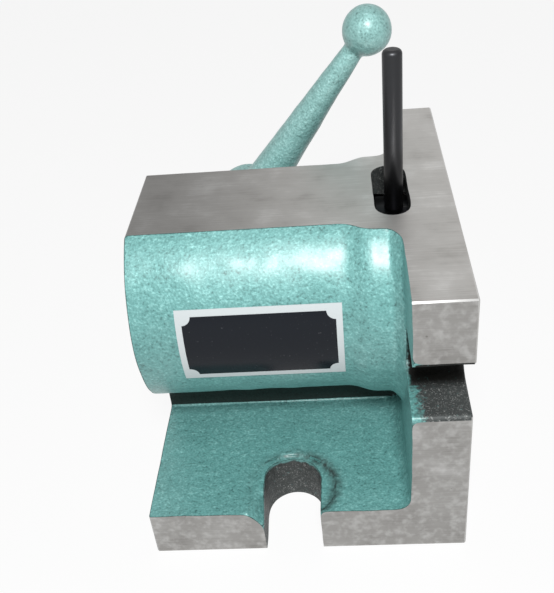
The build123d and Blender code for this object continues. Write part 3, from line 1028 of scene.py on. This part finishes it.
    def ease_border(self, bm: bmesh.types.BMesh) -> None:
        """Round the corners that the ground faces' outlines have against cast skin.

        Args:
            bm: the refined mesh.
        """
        ground = Zone.GROUND.value
        moves = []
        for vert in bm.verts:
            zones = {face.material_index for face in vert.link_faces}
            if ground not in zones or Zone.TURNED.value in zones or len(zones) < 2:
                continue
            flats = [face.normal for face in vert.link_faces if face.material_index == ground]
            if any(flat.dot(flats[0]) < SQUARE for flat in flats):
                continue
            along = [
                edge.other_vert(vert).co
                for edge in vert.link_edges
                if sum(face.material_index == ground for face in edge.link_faces) == 1
            ]
            if len(along) == 2:
                moves.append((vert, (along[0] + along[1]) / 4 + vert.co / 2))
        for vert, place in moves:
            vert.co = place

    def push_of(self, vert: bmesh.types.BMVert) -> Vector | None:
        """Work out how far a point of the cast skin moves, along the ground planes it lies on.

        Args:
            vert: a point of the mesh.

        Returns:
            Its move, or nothing where it stays.
        """
        push = Vector()
        flats = []
        for face in vert.link_faces:
            if face.material_index in CAST_ZONES:
                push += face.normal * face.calc_area()
            elif face.material_index == Zone.GROUND.value:
                flats.append(face.normal)
            else:
                return None
        if push.length == 0:
            return None
        push.normalize()
        push *= lumps(vert.co, self.waves)
        # Two passes, because planes that meet at a slant undo a little of each other.
        for flat in flats * 2:
            push -= flat * push.dot(flat)
        return push

    def roughen(self, bm: bmesh.types.BMesh) -> None:
        """Move the cast skin in and out, and leave ground planes flat.

        Args:
            bm: the refined mesh.
        """
        pushes = [(vert, self.push_of(vert)) for vert in bm.verts]
        for vert, push in pushes:
            if push is not None:
                vert.co += push

    def measure_border(self, bm: bmesh.types.BMesh, border: list[Vector]) -> None:
        """Store each point's distance from the border of the paint, and how dark it is painted: painted
        shadow in the wall slot and on the web, soiling and painted shade round the seats.

        Args:
            bm: the refined mesh.
            border: points along the border.
        """
        tree = kdtree.KDTree(len(border))
        for index, point in enumerate(border):
            tree.insert(point, index)
        tree.balance()
        layer = bm.verts.layers.float.new("border")
        dirt_and_shade = bm.verts.layers.float.new("dirt_and_shade")
        lowest = self.wall_slot_floor - self.spray_below
        highest = self.wall_slot_floor + self.spray_above
        for vert in bm.verts:
            x, y, z = vert.co / MM
            bare = all(face.material_index == Zone.RAW.value for face in vert.link_faces)
            sprayed = lowest < z < highest and abs(y) > self.slot_arc
            narrow = self.rim_spray if bare and not sprayed else 1.0
            vert[layer] = min(tree.find(vert.co)[2] * narrow, self.border_reach)
            # The stored darkening: painted shadow on bare iron in the wall slot, painted shadow and soiling
            # on the paint.
            vert[dirt_and_shade] = self.slot_shade_at(x, y, z) if bare else self.dirt_and_shade_at(x, y, z)

    def slot_shade_at(self, x: float, y: float, z: float) -> float:
        """Give the share of painted shadow on bare iron, at the back of a wall slot and on its upper face.

        Args:
            x: the place in millimetres, as are y and z.
            y: see x.
            z: see x.

        Returns:
            A share from 0 to 1.
        """
        if x < self.wall_inner or z > self.axis_height + self.barrel_bore:
            return 0.0
        inside = (self.slot_arc + self.slot_shade_fade - abs(y)) / (2 * self.slot_shade_fade)
        above = (z - self.axis_height) / self.slot_shade_fade
        return within(max(inside, above))

    def dirt_and_shade_at(self, x: float, y: float, z: float) -> float:
        """Give how dark the paint is painted: painted shadow on the web under the barrel, soiling and
        painted shade round the slots' seats.

        Args:
            x: the place in millimetres, as are y and z.
            y: see x.
            z: see x.

        Returns:
            0 for clean paint, 1 for dark and more where it is dark all over, as in the web's painted
            shadow.
        """
        # Painted shadow: the web lies in the barrel's shade, so it is painted dark all over.
        if abs(y) < self.web_half and self.base_thickness + self.web_foot < z < self.web_top:
            return self.web_shade
        slack = self.seat_depth_slack
        if not self.seat_floor - slack < z < self.base_thickness + slack:
            return 0.0
        across, along = x - self.slot_middle, abs(y) - self.seat_middle
        off = abs(math.hypot(across, along) - self.seat_radius)
        # Soiling and painted shade round the seats, heavier on their right side, where the recess wall
        # faces away from the key light.
        side = 0.5 + 0.5 * within(across / self.seat_radius + self.seat_shade_turn, -1.0)
        return max(0.0, 1.0 - off / self.seat_dark_width) * side

    def build(self) -> bpy.types.Object:
        """Build the casting's skin in place of the CAD solid.

        Returns:
            The new piece.
        """
        low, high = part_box(self.node)
        self.low, self.high = Vector(low), Vector(high)
        bm = bmesh.new()
        bm.from_mesh(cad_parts[self.node].data)
        bmesh.ops.remove_doubles(bm, verts=bm.verts, dist=MERGE)
        bmesh.ops.triangulate(bm, faces=bm.faces)
        for face in bm.faces:
            face.smooth = True
            face.material_index = self.zone(face).value
        self.lay_grid(bm)
        refine(bm, self.cell)
        bm.normal_update()
        self.fill_seats(bm)
        self.run_over(bm)
        self.measure_border(bm, self.mark(bm))
        self.roughen(bm)
        clamp_to(bm, self.node)
        piece = new_piece("casting_skin", bm, casting_materials(), "fixture")
        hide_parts(self.node)
        return piece


@dataclass
class CamLever:
    """The cast lever: hub, tapered arm and ball under one coat of enamel, with sizes in metres."""

    node: str = "lever"
    cell: float = 0.0006
    weld: float = 1e-6
    rounding: int = 5
    waves: tuple[Span, ...] = ((0.016, 0.00022), (0.006, 0.00012), (0.0028, 0.00004))

    def cast_form(self) -> bpy.types.Mesh:
        """Run the CAD lever's form over with an even mesh, as a casting's edges are run over.

        Returns:
            The even mesh.
        """
        source = bpy.data.objects.new("lever_form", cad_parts[self.node].data.copy())
        bpy.context.scene.collection.objects.link(source)
        source.data.materials.clear()
        weld = source.modifiers.new("weld", "WELD")
        weld.merge_threshold = self.weld
        cells = source.modifiers.new("cells", "REMESH")
        cells.mode = "VOXEL"
        cells.voxel_size = self.cell
        graph = bpy.context.evaluated_depsgraph_get()
        mesh = bpy.data.meshes.new_from_object(source.evaluated_get(graph))
        bpy.data.objects.remove(source)
        return mesh

    def build(self, material: bpy.types.Material) -> bpy.types.Object:
        """Build the painted lever in place of the CAD solid.

        Args:
            material: its enamel.

        Returns:
            The new piece.
        """
        bm = bmesh.new()
        bm.from_mesh(self.cast_form())
        soften(bm, list(bm.verts), self.rounding)
        bm.normal_update()
        for face in bm.faces:
            face.smooth = True
        pushes = [vert.normal * lumps(vert.co, self.waves) for vert in bm.verts]
        for vert, push in zip(bm.verts, pushes):
            vert.co += push
        clamp_to(bm, self.node)
        piece = new_piece("lever_casting", bm, [material], "cam_lever")
        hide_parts(self.node)
        return piece


@dataclass
class SpannerRod:
    """The blacked rod that turns the nut, with a rounded top and sizes in metres."""

    node: str = "spanner_rod"
    crown: float = 0.0015
    crown_steps: int = 6
    foot: float = 0.0006
    sides: int = 56

    def profile(self, radius: float, low: float, high: float) -> list[Span]:
        """Give the rod's outline from the foot up.

        Args:
            radius: the rod's radius.
            low: the height of its foot.
            high: the height of its top.

        Returns:
            Radius and height of each step, in metres.
        """
        points = [(radius - self.foot, low), (radius, low + self.foot)]
        for step in range(self.crown_steps + 1):
            turn = math.pi / 2 * step / self.crown_steps
            inset = self.crown * (1 - math.cos(turn))
            points.append((radius - inset, high - self.crown + self.crown * math.sin(turn)))
        return points

    def ring(
        self, bm: bmesh.types.BMesh, middle: Vector, radius: float, height: float
    ) -> list[bmesh.types.BMVert]:
        """Add one round row of points to the rod.

        Args:
            bm: the rod's mesh.
            middle: the rod's middle.
            radius: the row's radius.
            height: the row's height.

        Returns:
            The new points in order.
        """
        row = []
        for side in range(self.sides):
            turn = 2 * math.pi * side / self.sides
            x = middle.x + radius * math.cos(turn)
            y = middle.y + radius * math.sin(turn)
            row.append(bm.verts.new((x, y, height)))
        return row

    def build(self, material: bpy.types.Material) -> bpy.types.Object:
        """Build the rod in place of the CAD solid.

        Args:
            material: its blacked metal.

        Returns:
            The new piece.
        """
        low, high = (Vector(corner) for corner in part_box(self.node))
        middle = (low + high) / 2
        bm = bmesh.new()
        outline = self.profile((high.x - low.x) / 2, low.z, high.z)
        rings = [self.ring(bm, middle, radius, height) for radius, height in outline]
        for under, over in zip(rings, rings[1:]):
            for side in range(self.sides):
                after = (side + 1) % self.sides
                face = bm.faces.new((under[side], under[after], over[after], over[side]))
                face.smooth = True
        bm.faces.new(list(reversed(rings[0])))
        bm.faces.new(rings[-1])
        piece = new_piece("rod", bm, [material], "nut")
        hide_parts(self.node)
        return piece


@dataclass
class NamePlate:
    """The blank plate on the barrel: pale border, dark field with notched corners.

    Sizes are in millimetres, and field_stand and cell in metres.
    """

    node: str = "name_plate"
    axis_height: float = 70.0
    thickness: float = 0.5
    border_side: float = 2.1
    border_end: float = 2.4
    notch: float = 3.0
    notch_steps: int = 8
    field_stand: float = 0.00006
    cell: float = 0.0012
    sharp_angle: float = 40.0

    def notched(self, length: float, height: float) -> list[Span]:
        """Give the dark field's outline, with a hollow quarter round at each corner.

        Args:
            length: the field's length in millimetres.
            height: the field's height in millimetres.

        Returns:
            Its points round the middle, in millimetres.
        """
        points = []
        corners = [(1, 1, 270), (-1, 1, 0), (-1, -1, 90), (1, -1, 180)]
        for side, rise, start in corners:
            x, y = side * length / 2, rise * height / 2
            for step in range(self.notch_steps + 1):
                turn = math.radians(start - 90 * step / self.notch_steps)
                points.append((x + self.notch * math.cos(turn), y + self.notch * math.sin(turn)))
        return points

    def wrapped(self, outline: list[Span], inner: float, outer: float, middle: Span) -> bmesh.types.BMesh:
        """Wrap a flat outline round the barrel as a thin closed sheet.

        Args:
            outline: points along the barrel and round it, in millimetres.
            inner: radius of the sheet's back, in metres.
            outer: radius of its face, in metres.
            middle: the outline's middle along X in metres, and its angle above level.

        Returns:
            The sheet's mesh.
        """
        bm = bmesh.new()
        face = bm.faces.new([bm.verts.new((s * MM, t * MM, 0)) for s, t in outline])
        bmesh.ops.triangulate(bm, faces=[face])
        refine(bm, lambda edge: self.cell)
        shell = bmesh.ops.extrude_face_region(bm, geom=list(bm.faces))
        raised = {item for item in shell["geom"] if isinstance(item, bmesh.types.BMVert)}
        axis = self.axis_height * MM
        for vert in bm.verts:
            radius = outer if vert in raised else inner
            angle = middle[1] + vert.co.y / outer
            x = middle[0] + vert.co.x
            vert.co = Vector((x, -radius * math.cos(angle), axis + radius * math.sin(angle)))
        bmesh.ops.recalc_face_normals(bm, faces=bm.faces)
        limit = math.radians(self.sharp_angle)
        for edge in bm.edges:
            edge.smooth = edge.calc_face_angle(0.0) < limit
        for face in bm.faces:
            face.smooth = True
        return bm

    def build(self, pale: bpy.types.Material, dark: bpy.types.Material) -> None:
        """Build the plate and its field in place of the CAD solid.

        Args:
            pale: the border's material.
            dark: the field's material.
        """
        low, high = (Vector(corner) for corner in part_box(self.node))
        outer = -low.y
        top = math.asin((high.z - self.axis_height * MM) / outer)
        bottom = math.asin((low.z - self.axis_height * MM) / outer)
        length = (high.x - low.x) / MM
        height = (top - bottom) * outer / MM
        middle = ((low.x + high.x) / 2, (top + bottom) / 2)
        across, rise = length / 2, height / 2
        corners = [(across, rise), (-across, rise), (-across, -rise), (across, -rise)]
        sheet = self.wrapped(corners, outer - self.thickness * MM, outer - self.field_stand, middle)
        plate = new_piece("plate_sheet", sheet, [pale], "fixture")
        outline = self.notched(length - 2 * self.border_side, height - 2 * self.border_end)
        printed = self.wrapped(outline, outer - 2 * self.field_stand, outer, middle)
        new_piece("plate_field", printed, [dark], "fixture")
        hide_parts(self.node)


@dataclass
class Studio:
    """Pale floor, soft lights and the camera of the photograph.

    The eye and the sensor are in millimetres, and everything else is in metres, watts or pixels.
    """

    focal_pixels: float = 851.6
    frame_height: float = 593.0
    frame_width: float = 554.0
    centre_column: float = 284.1
    centre_row: float = 306.8
    eye: Point = (18.4, -257.4, 243.7)
    right: Point = (0.9958, 0.0341, -0.0853)
    down: Point = (-0.0489, -0.5897, -0.8061)
    sensor: float = 36.0
    nearest: float = 0.01
    floor_size: float = 3.0
    floor_white: float = 0.90
    floor_tone: Colour = (0.75, 0.75, 0.75, 1.0)
    room_tone: Colour = (0.94, 0.97, 1.0, 1.0)
    room_light: float = 0.055
    mirrored_white: float = 0.8
    aim: Point = (0.0, 0.0, 0.06)
    key_place: Point = (0.03, -0.48, 0.62)
    key_size: float = 0.16
    key_power: float = 6.4
    side_place: Point = (-0.7, -0.6, 0.45)
    side_size: float = 0.6
    side_power: float = 0.35

    def camera(self) -> None:
        """Set the camera as the photograph was taken."""
        data = bpy.data.cameras.new("studio_camera")
        data.sensor_fit = "VERTICAL"
        data.sensor_height = self.sensor
        data.lens = self.focal_pixels * self.sensor / self.frame_height
        data.shift_x = (self.frame_width / 2 - self.centre_column) / self.frame_height
        data.shift_y = (self.centre_row - self.frame_height / 2) / self.frame_height
        data.clip_start = self.nearest
        right = Vector(self.right).normalized()
        up = -Vector(self.down).normalized()
        back = right.cross(up).normalized()
        turn = Matrix((right, back.cross(right), back)).transposed()
        obj = bpy.data.objects.new("studio_camera", data)
        obj.matrix_world = Matrix.Translation(Vector(self.eye) * MM) @ turn.to_4x4()
        bpy.context.scene.collection.objects.link(obj)
        bpy.context.scene.camera = obj

    def lamp(self, name: str, where: Point, size: float, power: float) -> None:
        """Hang one square soft light that faces the fixture.

        Args:
            name: the light's name.
            where: its place in metres.
            size: its side in metres.
            power: its power in watts.
        """
        data = bpy.data.lights.new(name, "AREA")
        data.size = size
        data.energy = power
        obj = bpy.data.objects.new(name, data)
        obj.location = where
        obj.rotation_euler = (Vector(self.aim) - Vector(where)).to_track_quat("-Z", "Y").to_euler()
        bpy.context.scene.collection.objects.link(obj)

    def floor(self) -> None:
        """Lay the pale floor, which looks nearly white but keeps the fixture's shadow."""
        mesh = bpy.data.meshes.new("floor")
        edge = self.floor_size / 2
        corners = [(-edge, -edge, 0), (edge, -edge, 0), (edge, edge, 0), (-edge, edge, 0)]
        mesh.from_pydata(corners, [], [(0, 1, 2, 3)])
        obj = bpy.data.objects.new("floor", mesh)
        bpy.context.scene.collection.objects.link(obj)
        nodes = Nodes("pale_floor")
        cloth = nodes.add("BsdfDiffuse", {"Color": self.floor_tone})
        white = nodes.add("Emission", {"Strength": 1.0})
        share = nodes.math("MULTIPLY", seen_directly(nodes), self.floor_white)
        shader = nodes.add("MixShader", {0: share, 1: cloth.outputs[0], 2: white.outputs[0]})
        nodes.tree.links.new(shader.outputs[0], nodes.output.inputs["Surface"])
        nodes.material.cycles.emission_sampling = "NONE"
        mesh.materials.append(nodes.material)

    def surround(self) -> None:
        """Light the room evenly, with a white ground behind the object."""
        world = bpy.data.worlds.new("room")
        world.use_nodes = True
        nodes = Nodes.of_world(world)
        soft = nodes.add("Background", {"Color": self.room_tone, "Strength": self.room_light})
        camera = nodes.add("LightPath").outputs["Is Camera Ray"]
        strength = nodes.lift(camera, self.mirrored_white, 1.0)
        white = nodes.add("Background", {"Color": WHITE, "Strength": strength})
        shader = nodes.add("MixShader", {0: seen_directly(nodes), 1: soft.outputs[0], 2: white.outputs[0]})
        nodes.tree.links.new(shader.outputs[0], nodes.output.inputs["Surface"])
        bpy.context.scene.world = world

    def build(self) -> None:
        """Set up the whole studio."""
        self.camera()
        self.floor()
        self.surround()
        self.lamp("key_light", self.key_place, self.key_size, self.key_power)
        self.lamp("side_light", self.side_place, self.side_size, self.side_power)
        bpy.context.scene.view_settings.view_transform = "Standard"
        log.info("studio set")


def dress(node: str, material: bpy.types.Material) -> None:
    """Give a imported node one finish.

    Args:
        node: the CAD node's name.
        material: its finish.
    """
    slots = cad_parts[node].data.materials
    slots.clear()
    slots.append(material)
    log.info("%s: %s", node, material.name)


def main() -> None:
    """Build every finish and piece of the fixture."""
    logging.basicConfig(level=logging.INFO)
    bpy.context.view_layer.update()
    Studio().build()
    finishes = {name: finish.build(name) for name, finish in FINISHES.items()}
    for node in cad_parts:
        dress(node, finishes[NODE_FINISHES.get(node, "hardened_steel")])
    Casting().build()
    CamLever().build(lightened_lever_enamel())
    SpannerRod().build(finishes["rod_black"])
    NamePlate().build(finishes["plate_pale"], finishes["plate_dark"])


if __name__ == "__main__":
    main()
